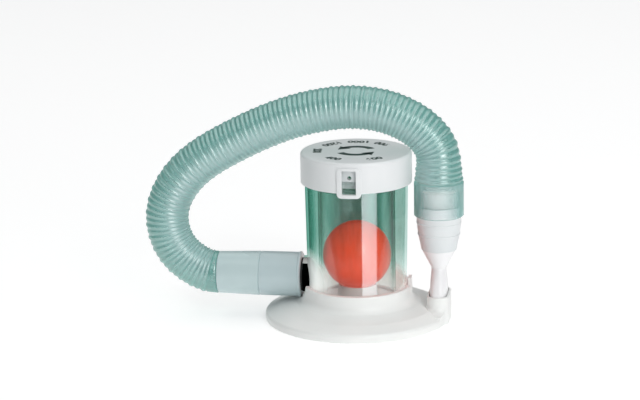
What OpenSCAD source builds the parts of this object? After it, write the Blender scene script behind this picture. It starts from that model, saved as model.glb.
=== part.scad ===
// Single-ball incentive spirometer: a clear chamber with a ball in a guide tube,
// a turning flow dial on top, and a ribbed breathing hose whose mouthpiece
// stands in a holder moulded into the base.
// Millimetres. The origin is the centre of the base's underside, on the chamber's
// axis, with +Z up, the dial's window at -Y and the hose port at -X.

/* [Base] */
// Width of the base outside the mouthpiece's axis
rim_room = 6; // [5:0.5:9]
// Height of the rim's upright side
rim_h = 5.5; // [4.5:0.5:6.5]
// Height at which the skirt runs into the collar's fillet
skirt_h = 10.5; // [9.5:0.5:11.5]
// Height of the top of the collar around the chamber
collar_h = 20.8; // [19.2:0.2:22.4]
// Wall of the collar
collar_t = 3; // [2.4:0.2:3.6]
// Wall of the moulded base
base_t = 2; // [1.6:0.1:2.4]
// Height of the floor that the chamber stands on
floor_h = 12; // [11.8:0.2:13]
// Inside diameter of the ring that the ball rests on
seat_d = 20; // [16:1:24]
// Height of that ring above the floor
seat_h = 8.3; // [6.5:0.1:9]

/* [Chamber] */
// Air way between the guide tube and the chamber's foot
air_gap = 4.9; // [3:0.1:6]
// How much the chamber's radius grows from foot to top
chamber_flare = 1.3; // [0.5:0.1:1.6]
// Wall of the chamber
chamber_t = 1.5; // [1.1:0.1:1.9]
// Height of the chamber
chamber_l = 77; // [72:1:84]
// Height of the port's axis above the chamber's foot
port_rise = 13; // [12.5:0.1:14]
// Diameter of the black port bush's flange
bush_d = 19.6; // [18:0.2:20.6]

/* [Ball] */
// Diameter of the ball
ball_d = 40; // [36:0.5:41]
// Wall of the hollow ball
ball_t = 1.2; // [0.8:0.1:2]
// Radial gap between the ball and its guide tube
ball_gap = 1.2; // [0.8:0.1:1.6]
// Wall of the guide tube
sleeve_t = 1.2; // [0.8:0.1:1.6]

/* [Dial] */
// Height of the turning cap
cap_l = 17.7; // [16.5:0.1:18.5]
// Wall of the cap's side
cap_t = 1.3; // [1:0.1:2]
// Thickness of the cap's top
cap_top_t = 2; // [1.6:0.1:2.6]
// Width of the window in the cap
window_w = 8.2; // [6:0.2:10]
// Height of the window
window_l = 14; // [13:0.2:14.4]
// Number of flow settings
settings = 6; // [4:1:7]
// Turn between two settings
setting_step = 30; // [24:1:30]

/* [Port and hose] */
// Diameter of the port adapter
adapter_d = 26; // [25:0.2:27]
// Length of the port adapter
adapter_l = 24.5; // [22:0.5:27]
// Length of the cuff on the hose's lower end
cuff_l = 25; // [20:0.5:28]
// Diameter of the hose over its ribs
hose_d = 25.6; // [24.8:0.2:26]
// Pitch of the ribs
rib_pitch = 2.85; // [2.6:0.05:4]
// Height of a rib above the groove beside it
rib_h = 0.8; // [0.6:0.1:1.2]

/* [Mouthpiece] */
// Gap between the turning cap and the cuff on the hose's upper end
cuff_room = 1.3; // [0.6:0.1:1.8]
// Thickness of the mouthpiece's lip end
beak_t = 9.8; // [9:0.1:10]
// Width of the mouthpiece's lip end
beak_w = 24; // [20:0.5:26]
// Height of the mouthpiece from its lip end to its neck
beak_l = 26.6; // [24:0.2:28]
// Diameter of the neck
neck_d = 8.8; // [8.2:0.1:9.4]
// Largest diameter of the white barrel above the mouthpiece
barrel_d = 26; // [25.8:0.1:26.8]
// Height of the barrel
barrel_l = 26.2; // [25:0.2:28]
// Diameter of the cuff on the hose's upper end
mouth_cuff_d = 28.8; // [28.4:0.1:29.6]

/* [Hidden] */
$fn = 96;

// Overrun of a cut past the face it opens
over = 1;
// Clearance between pieces that move, and between fitted ones
run_gap = 0.3;
fit_gap = 0.1;
pivot_gap = 0.05;

// Radii and places from the ball outwards
ball_r = ball_d / 2;
tube_ir = ball_r + ball_gap;
tube_or = tube_ir + sleeve_t;
foot_r = tube_or + air_gap + chamber_t;
chamber_top_r = foot_r + chamber_flare;
lip_w = 0.6;
cap_ir = chamber_top_r + lip_w + run_gap;
cap_r = cap_ir + cap_t;
mouth_cuff_r = mouth_cuff_d / 2;
mouth_x = cap_r + cuff_room + mouth_cuff_r;
base_r = mouth_x + rim_room;

// Base
rim_round = 2.2;
rim_foot = 1.2;
rim_land = 3.2;
collar_ir = foot_r + run_gap;
collar_or = collar_ir + collar_t;
collar_round = 0.8;
fillet_r = 5;
seat_r = seat_d / 2;
seat_t = 2;
inlet_bar_w = 1.6;
tube_ring_t = 1.2;
tube_ring_h = 1.5;
notch_slope_w = 7;
notch_slope_h = 4.6;
air_notch_w = 12;
air_notch_h = 1.6;
air_notches = 3;
air_notch_step = 30;
lug_w = 6;
lug_h = 4.6;
lug_t = 2;

// Chamber and port
chamber_top = floor_h + chamber_l;
port_z = floor_h + port_rise;
lip_h = 1.6;
bush_r = bush_d / 2;
boss_t = 1;
boss_ir = bush_r + run_gap;
boss_or = boss_ir + boss_t;
boss_out = 2.4;
bush_stand = 1;
bush_rim = 1.8;
bush_in = 2.2;
bush_t = 1.3;
bush_neck_r = bush_r - bush_rim;
spigot_t = 1.2;
spigot_r = bush_neck_r - bush_t - fit_gap;
port_face = foot_r + boss_out + run_gap + bush_stand;

// Ball's rest and stop
seat_gap = 0.25;
ball_z = floor_h + seat_h + sqrt(ball_r * ball_r - seat_r * seat_r) + seat_gap;
plug_l = 4.5;
stop_t = 1.4;
stop_gap = 1.1;
stop_skirt = 3;
stop_bar_w = 2;
stop_hub_r = 4;
stop_bars = 6;
tube_top = chamber_top - plug_l - stop_gap - stop_t;
ball_lift = tube_top - run_gap - ball_z - ball_r;
ball_lap = 1.2;

// Dial
ring_h = 8.7;
ring_t = 2;
ring_r = chamber_top_r + run_gap;
plug_t = 1.7;
plug_r = chamber_top_r - chamber_t - run_gap;
disc_h = 4.2;
disc_t = 1.6;
pivot_r = 3;
pivot_h = 2.4;
cap_top = chamber_top + ring_h + run_gap + cap_top_t;
cap_under = cap_top - cap_top_t;
cap_foot = cap_top - cap_l;
cap_round = 1.5;
cap_hub_r = 6;
bead_h = 1.2;
window_drop = 4.3;
frame_w = 2.9;
frame_bar = 2;
frame_out = 0.8;
frame_rise = 1.4;
frame_round = 2.4;
air_hole_r = 0.6;
air_hole_grow = 0.2;
rest_setting = 3;

// Port adapter and the hose's lower cuff
adapter_r = adapter_d / 2;
adapter_t = 1.8;
adapter_lip = 0.3;
adapter_lip_w = 1.4;
adapter_end = port_face + adapter_l;
socket_l = 3;
edge = 0.5;
cuff_taper = 0.7;

// Hose
hose_r = hose_d / 2;
hose_sides = 8;
hose_t = 1;
plain_r = 10.9;
mouth_plain_r = 12;
band_r = 12.4;
band_l = 4.7;
flare_r = 1.5;
flare_l = 16;
hose_bore_r = hose_r - rib_h - hose_t;

// Mouthpiece, its barrel and its holder
beak_r = beak_t / 2;
pocket_r = beak_r + run_gap;
pocket_y = beak_w / 2 - beak_r;
pocket_floor = 4.6;
holder_t = 1.2;
holder_r = pocket_r + holder_t;
holder_h = 16.2;
holder_round = 0.6;
holder_flare = 5;
holder_flare_h = 6;
beak_z = pocket_floor + run_gap;
neck_z = beak_z + beak_l;
beak_wall = 1.3;
beak_sides = 32;
funnel_l = 11.1;
funnel_rim_r = 9.8;
funnel_plug_r = 8;
funnel_plug_l = 7;
barrel_z = neck_z + funnel_l;
barrel_top = barrel_z + barrel_l;
barrel_t = 1.6;
barrel_r = barrel_d / 2;
nozzle_r = 10;
nozzle_t = 1.3;
nozzle_l = 8.5;
slot_l = 4.8;
bead_r = 0.25;
mouth_cuff_l = 14.2;
mouth_cuff_lap = 6;

// Route of the hose's axis in the plane y = 0, as [x, z], from the port adapter
// round over the cap to the mouthpiece's barrel
route = [[-54, 25], [-61, 25], [-68, 25], [-74, 25], [-79, 25], [-83, 25],
         [-86, 25], [-91.5, 26.5], [-97, 29.5], [-102.5, 33.5], [-107, 38.5], [-110.5, 45],
         [-112.5, 53], [-112.5, 61.5], [-110, 70], [-105.5, 78], [-99.5, 85.5], [-92, 92],
         [-83, 98], [-73, 103.5], [-62.5, 109], [-51.5, 114], [-40, 118.5], [-28.5, 122],
         [-16.5, 124.5], [-4.5, 126], [7.5, 125.5], [18.5, 123.5], [28.5, 119.5],
         [37, 114.5], [44, 107.5], [47.5, 101], [48, 94.5], [48, 90], [48, 85], [48, 78],
         [48, 71], [48, 64]];
route_steps = 8;

// Points of an arc about c, from angle a0 to a1 in n steps
function arc(c, r, a0, a1, n) =
    [for (i = [0:n]) c + r * [cos(a0 + (a1 - a0) * i / n), sin(a0 + (a1 - a0) * i / n)]];

// Outline of a rectangle with round corners, centred
function rounded(w, h, r) = concat(
    arc([w / 2 - r, h / 2 - r], r, 0, 90, 6),
    arc([r - w / 2, h / 2 - r], r, 90, 180, 6),
    arc([r - w / 2, r - h / 2], r, 180, 270, 6),
    arc([w / 2 - r, r - h / 2], r, 270, 360, 6));

// Outer radius of the chamber at height z
function chamber_r(z) = foot_r + chamber_flare * (z - floor_h) / chamber_l;

// A round bar along -X on the port's axis, from x0 out to x1
module port_bar(x0, x1, r) {
    translate([-x0, 0, port_z])
        rotate([0, -90, 0])
            cylinder(h = x1 - x0, r = r);
}

// A round-ended upright prism: outline radius and height pairs, stretched along Y
module slot_form(points, half_y) {
    for (side = [-1, 1])
        translate([mouth_x, side * half_y, 0])
            rotate_extrude()
                polygon(points);
    translate([mouth_x, 0, 0])
        rotate([90, 0, 0])
            linear_extrude(height = 2 * half_y, center = true)
                polygon(concat(points, [for (i = [len(points) - 1:-1:0]) [-points[i][0], points[i][1]]]));
}

// A tube skinned over matching outer and inner rings of points
module skin_tube(outer, inner) {
    sides = len(outer[0]);
    rows = len(outer);
    cols = len(inner);
    first = rows * sides;
    function out_id(i, k) = i * sides + k % sides;
    function in_id(i, k) = first + i * sides + k % sides;
    polyhedron(
        points = [for (ring = concat(outer, inner)) for (p = ring) p],
        faces = concat(
            [for (i = [0:rows - 2]) for (k = [0:sides - 1]) for (half = [0, 1]) half == 0
                ? [out_id(i, k), out_id(i, k + 1), out_id(i + 1, k)]
                : [out_id(i, k + 1), out_id(i + 1, k + 1), out_id(i + 1, k)]],
            [for (i = [0:cols - 2]) for (k = [0:sides - 1]) for (half = [0, 1]) half == 0
                ? [in_id(i, k), in_id(i + 1, k), in_id(i, k + 1)]
                : [in_id(i, k + 1), in_id(i + 1, k), in_id(i + 1, k + 1)]],
            [for (k = [0:sides - 1]) for (half = [0, 1]) half == 0
                ? [out_id(0, k), in_id(0, k), out_id(0, k + 1)]
                : [out_id(0, k + 1), in_id(0, k), in_id(0, k + 1)]],
            [for (k = [0:sides - 1]) for (half = [0, 1]) half == 0
                ? [out_id(rows - 1, k), out_id(rows - 1, k + 1), in_id(cols - 1, k)]
                : [out_id(rows - 1, k + 1), in_id(cols - 1, k + 1), in_id(cols - 1, k)]]));
}

// Direction of setting i, where the rest setting is at the front
function setting_turn(i) = -90 + (i - rest_setting) * setting_step;

// Half of the base's section: rim, skirt, collar, floor and the ring under the ball
base_section = concat(
    [[base_r - rim_land, 0]],
    arc([base_r - rim_foot, rim_foot], rim_foot, -90, 0, 4),
    arc([base_r - rim_round, rim_h - rim_round], rim_round, 0, 80, 5),
    [[(base_r + collar_or + fillet_r) / 2, (rim_h + skirt_h) / 2 + collar_round / 2]],
    arc([collar_or + fillet_r, skirt_h + fillet_r], fillet_r, 270, 180, 7),
    arc([collar_or - collar_round, collar_h - collar_round], collar_round, 0, 90, 4),
    [[collar_ir, collar_h], [collar_ir, floor_h]],
    [[tube_or + run_gap + tube_ring_t, floor_h],
     [tube_or + run_gap + tube_ring_t, floor_h + tube_ring_h],
     [tube_or + run_gap, floor_h + tube_ring_h], [tube_or + run_gap, floor_h]],
    [[seat_r + seat_t, floor_h], [seat_r + seat_t / 2, floor_h + seat_h], [seat_r, floor_h + seat_h]],
    [[seat_r, floor_h - base_t], [collar_or, floor_h - base_t],
     [collar_or + fillet_r, skirt_h - base_t],
     [base_r - rim_land - base_t, rim_h - base_t]]);

// Outline of the mouthpiece holder, as radius and height
holder_section = concat(
    [[0, 0], [holder_r, 0]],
    arc([holder_r - holder_round, holder_h - holder_round], holder_round, 0, 90, 3),
    [[0, holder_h]]);

// The holder's concave foot, where it spreads into the skirt
holder_foot_section = concat(
    [[0, rim_foot], [holder_r + holder_flare, rim_foot]],
    arc([holder_r + holder_flare, skirt_h / 2 + holder_flare_h], holder_flare, 270, 180, 6),
    [[0, skirt_h / 2 + holder_flare_h]]);

module base() {
    color("white") {
        difference() {
            union() {
                rotate_extrude()
                    polygon(base_section);
                slot_form(holder_section, pocket_y);
                intersection() {
                    slot_form(holder_foot_section, pocket_y);
                    cylinder(h = holder_h, r = base_r - fit_gap);
                }
            }
            // Pocket that the mouthpiece's lip end stands in
            slot_form([[0, pocket_floor], [pocket_r, pocket_floor],
                       [pocket_r, holder_h + over], [0, holder_h + over]], pocket_y);
            // Way through the collar for the chamber's port, with sloping shoulders
            port_bar(foot_r - chamber_t - over, collar_or + over, boss_or + run_gap);
            port_bar(port_face - over, base_r, adapter_r + adapter_lip + run_gap);
            translate([-collar_ir + run_gap, 0, collar_h])
                rotate([90, 0, -90])
                    linear_extrude(height = collar_t + fillet_r)
                        polygon([[-boss_or - notch_slope_w, over], [boss_or + notch_slope_w, over],
                                 [boss_or + notch_slope_w, 0], [boss_or, -notch_slope_h],
                                 [-boss_or, -notch_slope_h], [-boss_or - notch_slope_w, 0]]);
            // Air ways under the back of the rim
            for (i = [0:air_notches - 1])
                rotate(90 + (i - (air_notches - 1) / 2) * air_notch_step)
                    translate([base_r - rim_land - over, -air_notch_w / 2, -over])
                        cube([rim_land + 2 * over, air_notch_w, air_notch_h + over]);
        }
        // Cross bars over the air inlet
        for (turn = [0, 90])
            rotate(turn)
                translate([-seat_r - seat_t / 2, -inlet_bar_w / 2, floor_h - base_t])
                    cube([seat_d + seat_t, inlet_bar_w, base_t]);
        // Lug that keeps the chamber from turning
        intersection() {
            difference() {
                cylinder(h = collar_h + lug_h, r = collar_or - fit_gap);
                translate([0, 0, floor_h])
                    cylinder(h = chamber_l, r = collar_or - lug_t);
            }
            translate([0, -lug_w / 2, collar_h - over])
                cube([collar_or, lug_w, lug_h + over]);
        }
    }
}

module chamber_shell(outer) {
    rotate_extrude()
        polygon(outer
            ? [[0, floor_h], [foot_r, floor_h], [chamber_r(chamber_top - lip_h), chamber_top - lip_h],
               [chamber_top_r + lip_w, chamber_top - lip_h], [chamber_top_r + lip_w, chamber_top],
               [0, chamber_top]]
            : [[0, floor_h - over], [foot_r - chamber_t, floor_h - over],
               [foot_r - chamber_t, floor_h], [chamber_top_r - chamber_t, chamber_top],
               [chamber_top_r - chamber_t, chamber_top + over], [0, chamber_top + over]]);
}

module chamber() {
    color([0.5, 0.72, 0.64, 0.5])
        difference() {
            union() {
                chamber_shell(true);
                difference() {
                    port_bar(foot_r - chamber_t - over, foot_r + boss_out, boss_or);
                    port_bar(0, foot_r + boss_out + over, boss_ir);
                }
            }
            chamber_shell(false);
            port_bar(0, foot_r + over, bush_neck_r + fit_gap);
        }
}

module port_bush() {
    color([0.05, 0.05, 0.06])
        difference() {
            union() {
                difference() {
                    port_bar(foot_r - chamber_t, port_face, bush_r);
                    translate([0, 0, floor_h])
                        cylinder(h = chamber_l, r1 = foot_r + fit_gap, r2 = chamber_top_r + fit_gap);
                }
                port_bar(foot_r - bush_in, port_face, bush_neck_r);
            }
            port_bar(0, port_face + over, bush_neck_r - bush_t);
        }
}

module guide_tube() {
    color([0.8, 0.95, 0.92, 0.4])
        translate([0, 0, floor_h])
            difference() {
                cylinder(h = tube_top - floor_h, r = tube_or);
                translate([0, 0, -over])
                    cylinder(h = tube_top - floor_h + 2 * over, r = tube_ir);
            }
}

module ball_stop() {
    color([0.8, 0.92, 0.88, 0.6]) {
        rotate_extrude()
            polygon([[tube_ir, tube_top], [tube_or + fit_gap, tube_top],
                     [tube_or + fit_gap, tube_top - stop_skirt],
                     [tube_or + fit_gap + sleeve_t, tube_top - stop_skirt],
                     [tube_or + fit_gap + sleeve_t, tube_top + stop_t],
                     [tube_ir, tube_top + stop_t]]);
        translate([0, 0, tube_top])
            cylinder(h = stop_t, r = stop_hub_r);
        for (i = [0:stop_bars - 1])
            rotate(i * 360 / stop_bars)
                translate([0, -stop_bar_w / 2, tube_top])
                    cube([tube_ir + sleeve_t, stop_bar_w, stop_t]);
    }
}

module ball_lower_half() {
    color([0.83, 0.3, 0.2])
        translate([0, 0, ball_z])
            rotate_extrude()
                polygon(concat(
                    arc([0, 0], ball_r, -90, 0, 24),
                    [[ball_r - ball_t / 2, 0], [ball_r - ball_t / 2, ball_lap],
                     [ball_r - ball_t, ball_lap]],
                    arc([0, 0], ball_r - ball_t, 0, -90, 24)));
}

module ball_upper_half() {
    color([0.85, 0.3, 0.2])
        translate([0, 0, ball_z])
            rotate_extrude()
                polygon(concat(
                    [[ball_r - ball_t / 2 + pivot_gap, 0]],
                    arc([0, 0], ball_r, 0, 90, 24),
                    arc([0, 0], ball_r - ball_t, 90, asin((ball_lap + fit_gap) / (ball_r - ball_t)), 22),
                    [[ball_r - ball_t / 2 + pivot_gap, ball_lap + fit_gap]]));
}

module metering_ring() {
    disc_z = chamber_top + disc_h;
    color([0.9, 0.9, 0.9])
        difference() {
            rotate_extrude()
                polygon([[plug_r - plug_t, chamber_top - plug_l], [plug_r, chamber_top - plug_l],
                         [plug_r, chamber_top], [ring_r, chamber_top],
                         [ring_r, chamber_top + ring_h], [ring_r - ring_t, chamber_top + ring_h],
                         [ring_r - ring_t, disc_z + disc_t], [pivot_r, disc_z + disc_t],
                         [pivot_r, disc_z + disc_t + pivot_h], [0, disc_z + disc_t + pivot_h],
                         [0, disc_z], [plug_r - plug_t, disc_z]]);
            // One air hole for each setting, each larger than the last
            for (i = [0:settings - 1])
                rotate(setting_turn(i))
                    translate([0, 0, chamber_top + disc_h / 2])
                        rotate([0, 90, 0])
                            cylinder(h = ring_r + over, r = air_hole_r + i * air_hole_grow);
        }
}

module dial_cap() {
    window_z = cap_top - window_drop - window_l / 2;
    frame_foot = cap_top - window_drop - window_l - frame_bar;
    frame_l = window_l + frame_bar + frame_rise;
    color([0.93, 0.94, 0.94])
        difference() {
            union() {
                rotate_extrude()
                    polygon(concat(
                        [[cap_ir, cap_foot], [cap_r, cap_foot]],
                        arc([cap_r - cap_round, cap_top - cap_round], cap_round, 0, 90, 5),
                        [[0, cap_top], [0, cap_under], [cap_ir, cap_under]]));
                // Snap bead under the chamber's lip
                rotate_extrude()
                    polygon([[chamber_top_r + run_gap, chamber_top - lip_h - run_gap - bead_h],
                             [cap_ir + cap_t / 2, chamber_top - lip_h - run_gap - bead_h],
                             [cap_ir + cap_t / 2, chamber_top - lip_h - run_gap],
                             [chamber_top_r + run_gap, chamber_top - lip_h - run_gap]]);
                // Hub around the pivot
                translate([0, 0, chamber_top + disc_h + disc_t + run_gap])
                    cylinder(h = cap_top - cap_top_t / 2 - chamber_top - disc_h - disc_t - run_gap,
                             r = cap_hub_r);
                // Raised frame of the window, with its tongue below the skirt
                intersection() {
                    difference() {
                        translate([0, 0, frame_foot - over])
                            cylinder(h = cap_l + frame_bar, r = cap_r + frame_out);
                        translate([0, 0, frame_foot - 2 * over])
                            cylinder(h = cap_l + frame_bar + 2 * over, r = cap_ir);
                    }
                    translate([0, 0, frame_foot + frame_l / 2])
                        rotate([90, 0, 0])
                            linear_extrude(height = cap_r + 2 * over)
                                polygon(rounded(window_w + 2 * frame_w, frame_l, frame_round));
                }
            }
            // Window
            translate([0, 0, window_z])
                rotate([90, 0, 0])
                    linear_extrude(height = cap_r + 2 * over)
                        polygon(rounded(window_w, window_l, edge));
            // Bearing on the metering ring's pivot
            translate([0, 0, cap_foot])
                cylinder(h = chamber_top + disc_h + disc_t + pivot_h + run_gap - cap_foot,
                         r = pivot_r + pivot_gap);
        }
}

module port_adapter() {
    color([0.68, 0.76, 0.78, 0.8])
        translate([-port_face, 0, port_z])
            rotate([0, -90, 0])
                rotate_extrude()
                    polygon([[spigot_r - spigot_t, -bush_stand - boss_out - run_gap],
                             [spigot_r, -bush_stand - boss_out - run_gap],
                             [spigot_r, 0], [adapter_r - edge, 0], [adapter_r + adapter_lip, edge],
                             [adapter_r + adapter_lip, adapter_lip_w],
                             [adapter_r, adapter_lip_w + edge], [adapter_r, adapter_l - edge],
                             [adapter_r - edge, adapter_l], [plain_r + run_gap, adapter_l],
                             [plain_r + run_gap, adapter_l - socket_l],
                             [plain_r - hose_t, adapter_l - socket_l],
                             [plain_r - hose_t, adapter_t + edge],
                             [spigot_r - spigot_t, adapter_t]]);
}

module hose_cuff() {
    color([0.7, 0.77, 0.79, 0.8])
        translate([-adapter_end, 0, port_z])
            rotate([0, -90, 0])
                rotate_extrude()
                    polygon([[plain_r + run_gap, 0], [adapter_r - edge, 0], [adapter_r, edge],
                             [adapter_r - cuff_taper, cuff_l - edge],
                             [adapter_r - cuff_taper - edge, cuff_l],
                             [plain_r + run_gap, cuff_l]]);
}

// The route as a smooth curve: a uniform cubic spline with straight ends
route_wide = concat([2 * route[0] - route[1]], route,
                    [2 * route[len(route) - 1] - route[len(route) - 2]]);
function spline(a, b, c, d, t) =
    (pow(1 - t, 3) * a + (3 * pow(t, 3) - 6 * t * t + 4) * b
     + (3 * t + 3 * t * t - 3 * pow(t, 3) + 1) * c + pow(t, 3) * d) / 6;
curve = concat(
    [for (i = [0:len(route) - 2]) for (k = [0:route_steps - 1])
        spline(route_wide[i], route_wide[i + 1], route_wide[i + 2], route_wide[i + 3],
               k / route_steps)],
    [route[len(route) - 1]]);
function running(steps, i = 0, sum = 0, out = []) =
    i > len(steps) ? out : running(steps, i + 1, sum + (i < len(steps) ? steps[i] : 0),
                                   concat(out, [sum]));
reach = running([for (i = [0:len(curve) - 2]) norm(curve[i + 1] - curve[i])]);
hose_l = reach[len(reach) - 1];
table_x = [for (i = [0:len(curve) - 1]) [reach[i], curve[i][0]]];
table_z = [for (i = [0:len(curve) - 1]) [reach[i], curve[i][1]]];
function at(s) = [lookup(s, table_x), lookup(s, table_z)];
function along(s) =
    let (d = at(min(s + edge, hose_l)) - at(max(s - edge, 0))) d / norm(d);

// A ring of the hose at distance s along it
function hose_ring(s, r) =
    let (p = at(s), d = along(s))
    [for (k = [0:hose_sides - 1])
        let (a = k * 360 / hose_sides)
        [p[0] + r * cos(a) * d[1], r * sin(a), p[1] - r * cos(a) * d[0]]];

// Where the hose's plain lower end, smooth band, ribs and plain upper end begin
band_s = socket_l + cuff_l + run_gap;
ribs_s = band_s + band_l;
ribs_end_s = hose_l - slot_l - mouth_cuff_l - run_gap;
ribs = round((ribs_end_s - ribs_s) / rib_pitch);
rib_step = (ribs_end_s - ribs_s) / ribs;
crest_share = 0.3;
root_share = 0.8;
function flare(s) = flare_r * min(1, max(0, (s - ribs_end_s) / flare_l + 1));

hose_outer = concat(
    [[0, plain_r], [band_s - fit_gap, plain_r], [band_s, band_r], [ribs_s - fit_gap, band_r]],
    [for (i = [0:ribs - 1]) for (crest = [1, 0])
        let (s = ribs_s + (i + (crest == 1 ? crest_share : root_share)) * rib_step)
        [s, hose_r - (crest == 1 ? 0 : rib_h) + flare(s)]],
    [[ribs_end_s + fit_gap, mouth_plain_r], [hose_l, mouth_plain_r]]);
hose_inner = concat(
    [[0, plain_r - hose_t], [band_s, plain_r - hose_t]],
    [for (i = [0:ribs - 1])
        let (s = ribs_s + (i + root_share) * rib_step)
        [s, hose_bore_r + flare(s) / 2]],
    [[ribs_end_s, mouth_plain_r - hose_t], [hose_l, mouth_plain_r - hose_t]]);

// Least clear distance between two stretches of the hose that aren't neighbours
probe_l = 12;
probes = [for (s = [0:probe_l:hose_l]) at(s)];
self_gap = min([for (i = [0:len(probes) - 1]) for (j = [i + 8:1:len(probes) - 1])
                norm(probes[i] - probes[j])]) - hose_d - 2 * flare_r;
echo(hose_length = hose_l, ribs = ribs, least_gap_to_itself = self_gap, ball_lift = ball_lift);

module hose() {
    color([0.5, 0.72, 0.69, 0.7])
        skin_tube([for (q = hose_outer) hose_ring(q[0], q[1])],
                  [for (q = hose_inner) hose_ring(q[0], q[1])]);
}

module mouth_cuff() {
    color([0.62, 0.78, 0.76, 0.6])
        translate([mouth_x, 0, barrel_top])
            rotate_extrude()
                polygon([[barrel_r + fit_gap, -mouth_cuff_lap], [mouth_cuff_r - edge, -mouth_cuff_lap],
                         [mouth_cuff_r, edge - mouth_cuff_lap], [mouth_cuff_r, mouth_cuff_l - edge],
                         [mouth_cuff_r - edge, mouth_cuff_l],
                         [mouth_plain_r + run_gap, mouth_cuff_l],
                         [mouth_plain_r + run_gap, 0], [barrel_r + fit_gap, 0]]);
}

// The barrel's outside: share of its height, share of its radius
barrel_shares = [[0, 0.79], [0.1, 0.83], [0.3, 0.915], [0.5, 0.97], [0.72, 1], [0.9, 1]];
ridge_shares = [[0.36, 0.936], [0.62, 0.99]];

module mouth_adapter() {
    color([0.92, 0.93, 0.94])
        translate([mouth_x, 0, barrel_z]) {
            rotate_extrude()
                polygon(concat(
                    [[funnel_plug_r + fit_gap, 0]],
                    [for (s = barrel_shares) [s[1] * barrel_r, s[0] * barrel_l]],
                    [[barrel_r - edge, barrel_l], [mouth_plain_r + run_gap / 2, barrel_l],
                     [mouth_plain_r + run_gap / 2, barrel_l - slot_l],
                     [nozzle_r, barrel_l - slot_l], [nozzle_r, barrel_l + nozzle_l - edge],
                     [nozzle_r - edge, barrel_l + nozzle_l],
                     [nozzle_r - nozzle_t, barrel_l + nozzle_l],
                     [nozzle_r - nozzle_t, funnel_plug_l + edge],
                     [funnel_plug_r - barrel_t, funnel_plug_l],
                     [funnel_plug_r + fit_gap, funnel_plug_l - edge]]));
            for (s = ridge_shares)
                rotate_extrude()
                    translate([s[1] * barrel_r - bead_r, s[0] * barrel_l])
                        circle(r = 2 * bead_r, $fn = 24);
        }
}

// Sections of the lip end from foot to neck: share of the height, share of the
// half thickness, share of the half width, and how square the oval is
beak_shares = [[0, 0.94, 0.97, 3], [0.2, 0.99, 1, 3], [0.42, 1, 0.99, 3], [0.55, 1.02, 0.91, 2.8],
               [0.68, 1.02, 0.77, 2.5], [0.8, 0.98, 0.6, 2.2], [0.92, 0.92, 0.44, 2]];

function oval(z, rx, ry, n) =
    [for (k = [0:beak_sides - 1])
        let (a = k * 360 / beak_sides, c = cos(a), s = sin(a))
        [mouth_x + rx * sign(c) * pow(abs(c), 2 / n), -ry * sign(s) * pow(abs(s), 2 / n), z]];

module mouthpiece() {
    neck_r = neck_d / 2;
    color([0.95, 0.95, 0.96]) {
        skin_tube(
            concat([for (s = beak_shares)
                        oval(beak_z + s[0] * beak_l, s[1] * beak_r, s[2] * beak_w / 2, s[3])],
                   [for (lap = [0, edge]) oval(neck_z + lap, neck_r + fit_gap, neck_r + fit_gap, 2)]),
            concat([for (s = beak_shares)
                        oval(beak_z + s[0] * beak_l, s[1] * beak_r - beak_wall,
                             s[2] * beak_w / 2 - beak_wall, s[3])],
                   [for (lap = [0, edge]) oval(neck_z + lap, neck_r - beak_wall - fit_gap,
                                               neck_r - beak_wall - fit_gap, 2)]));
        translate([mouth_x, 0, neck_z])
            rotate_extrude()
                polygon([[neck_r - beak_wall, 0], [neck_r, 0],
                         [funnel_rim_r, funnel_l - edge], [funnel_rim_r, funnel_l],
                         [funnel_plug_r, funnel_l],
                         [funnel_plug_r, funnel_l + funnel_plug_l - 2 * edge],
                         [funnel_plug_r - barrel_t, funnel_l + funnel_plug_l - 2 * edge],
                         [funnel_plug_r - barrel_t, funnel_l]]);
    }
}

base();
chamber();
port_bush();
guide_tube();
ball_stop();
ball_lower_half();
ball_upper_half();
metering_ring();
dial_cap();
port_adapter();
hose_cuff();
hose();
mouth_cuff();
mouth_adapter();
mouthpiece();
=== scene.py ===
import math

import bmesh
import bpy
from mathutils import Matrix, Vector


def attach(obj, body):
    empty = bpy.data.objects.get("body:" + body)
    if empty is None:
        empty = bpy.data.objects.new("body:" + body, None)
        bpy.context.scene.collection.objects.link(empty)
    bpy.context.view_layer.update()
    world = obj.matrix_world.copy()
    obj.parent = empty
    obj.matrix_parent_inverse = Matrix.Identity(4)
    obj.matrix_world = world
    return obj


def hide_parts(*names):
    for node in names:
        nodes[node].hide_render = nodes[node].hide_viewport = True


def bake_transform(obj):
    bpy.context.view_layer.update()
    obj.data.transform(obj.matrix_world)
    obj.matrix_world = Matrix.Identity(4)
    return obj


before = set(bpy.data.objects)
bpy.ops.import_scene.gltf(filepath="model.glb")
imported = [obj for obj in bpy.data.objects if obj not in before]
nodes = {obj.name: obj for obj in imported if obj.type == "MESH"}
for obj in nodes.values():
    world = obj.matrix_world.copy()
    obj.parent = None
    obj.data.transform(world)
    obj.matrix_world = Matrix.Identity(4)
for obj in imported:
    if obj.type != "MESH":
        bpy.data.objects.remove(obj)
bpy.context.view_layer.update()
mm = 0.001



def linear(hexColour, alpha=1.0):
    # sRGB hex to the linear values that shaders take
    parts = [int(hexColour[i:i + 2], 16) / 255 for i in (1, 3, 5)]
    return [p / 12.92 if p <= 0.04045 else ((p + 0.055) / 1.055) ** 2.4 for p in parts] + [alpha]


def addNode(material, kind, inputs=None, **settings):
    # one node, with its settings, its values and its links: a socket given as a value is linked
    node = material.node_tree.nodes.new(kind)
    for name, value in settings.items():
        setattr(node, name, value)
    for name, value in (inputs or {}).items():
        socket = node.inputs[name]
        if isinstance(value, bpy.types.NodeSocket):
            material.node_tree.links.new(value, socket)
        else:
            socket.default_value = value
    return node


def newMaterial(name):
    material = bpy.data.materials.new(name)
    material.use_nodes = True
    material.node_tree.nodes.clear()
    return material


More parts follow.
